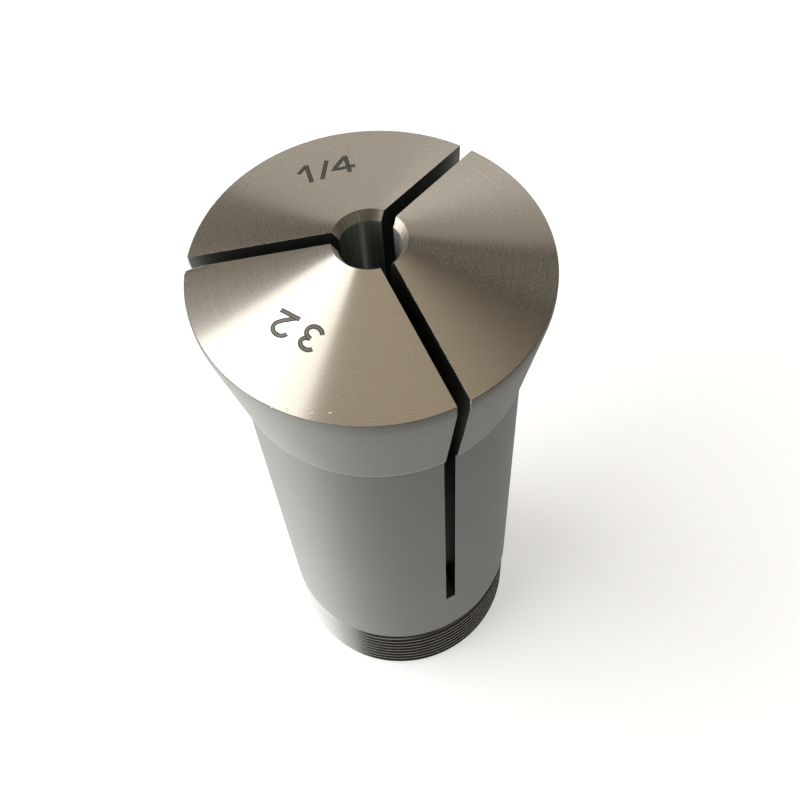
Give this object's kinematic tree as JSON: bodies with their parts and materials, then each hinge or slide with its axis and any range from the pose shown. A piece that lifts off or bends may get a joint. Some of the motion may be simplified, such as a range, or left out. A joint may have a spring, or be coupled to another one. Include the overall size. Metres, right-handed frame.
{
  "type": "lathe collet",
  "caption": "Round-bore lathe collet: slit taper head with a shallow cone nose, ground shank with keyway, threaded rear end.",
  "frame": {"origin": "centre of the rear end face, on the collet's axis", "axes": "+Z along the axis to the nose; one saw cut lies along -X, and the keyway is at 120 degrees round from +X"},
  "size_m": [0.0374, 0.0374, 0.0833],
  "materials": {
    "steel": "finely turned nose, satin ground taper and shank"
  },
  "bodies": {
    "root": {"collet": "steel"}
  },
  "joints": []
}
